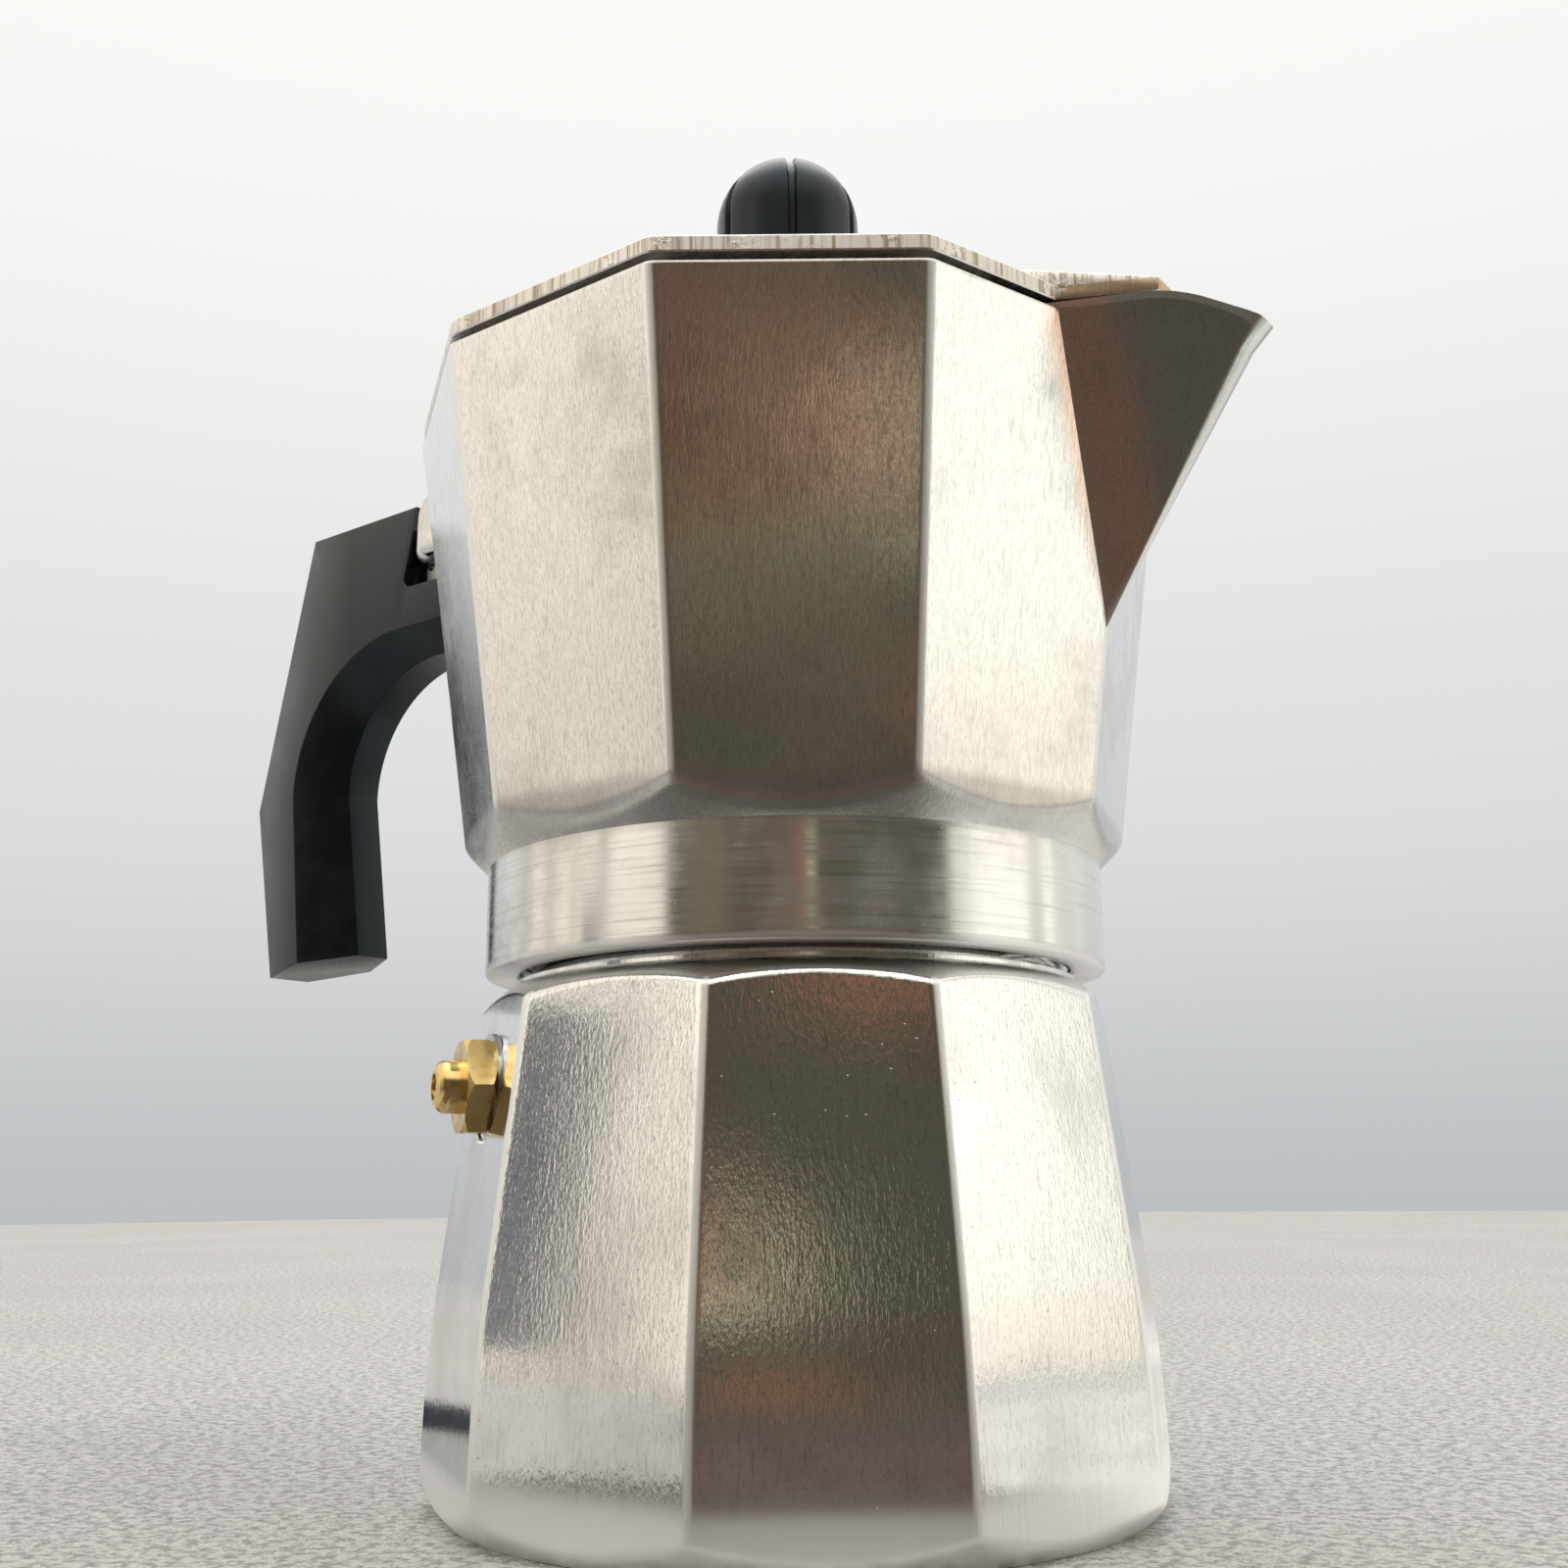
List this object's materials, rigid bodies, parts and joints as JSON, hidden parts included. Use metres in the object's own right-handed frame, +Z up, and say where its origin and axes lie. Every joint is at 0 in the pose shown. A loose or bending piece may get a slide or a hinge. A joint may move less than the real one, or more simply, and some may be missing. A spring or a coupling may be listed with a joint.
{
  "type": "moka pot",
  "caption": "Faceted aluminium stovetop coffee maker: boiler, screw-on collector with spout, hinged lid, black knob and angular black handle.",
  "frame": {"origin": "centre of the flat base disc, on the surface the pot stands on", "axes": "+Z up along the pot's axis, +X towards the spout, -X towards the handle"},
  "size_m": [0.1664, 0.0914, 0.1694],
  "materials": {
    "boiler_cast": "polished cast",
    "collector_cast": "brushed cast",
    "lid_cast": "brushed cast with ground edges",
    "funnel_sheet": "spun satin",
    "filter_sheet": "satin",
    "column_metal": "satin",
    "black_plastic": "satin black phenolic",
    "brass": "turned and polished",
    "steel": "bright",
    "spring_steel": "drawn wire",
    "seal_rubber": "smooth off-white"
  },
  "bodies": {
    "boiler": {"boiler": "boiler_cast", "valve_body": "brass", "valve_washer": "steel", "valve_retainer": "brass", "funnel_basket": "funnel_sheet", "funnel_stem": "funnel_sheet", "funnel_screen": "filter_sheet"},
    "valve": {"valve_plunger": "brass", "valve_spring": "spring_steel"},
    "seal": {"gasket": "seal_rubber", "filter_plate": "filter_sheet"},
    "collector": {"collector": "collector_cast", "column": "column_metal", "hinge_pin": "steel", "handle": "black_plastic", "handle_screw": "steel", "handle_washer": "steel"},
    "lid": {"lid": "lid_cast", "knob": "black_plastic", "knob_insert": "brass", "knob_screw": "steel", "knob_washer": "steel"}
  },
  "joints": [
    {"name": "seal_rise", "type": "slide", "parent": "boiler", "child": "seal", "axis": [0, 0, 1], "range_m": [0, 0.0091]},
    {"name": "collector_turn", "type": "hinge", "parent": "seal", "child": "collector", "pos_m": [0, 0, 0], "axis": [0, 0, 1], "range_deg": [0, 1080]},
    {"name": "lid_hinge", "type": "hinge", "parent": "collector", "child": "lid", "pos_m": [-0.059, 0, 0.132], "axis": [0, -1, 0], "range_deg": [0, 105]},
    {"name": "valve_lift", "type": "slide", "parent": "boiler", "child": "valve", "axis": [-0.5314, -0.8471, 0], "range_m": [0, 0.0015], "stiffness_N_per_m": 1500, "springref_m": -0.001}
  ],
  "couplings": [
    {"joint": "seal_rise", "follows": "collector_turn", "m_per_rad": 0.00047746}
  ]
}
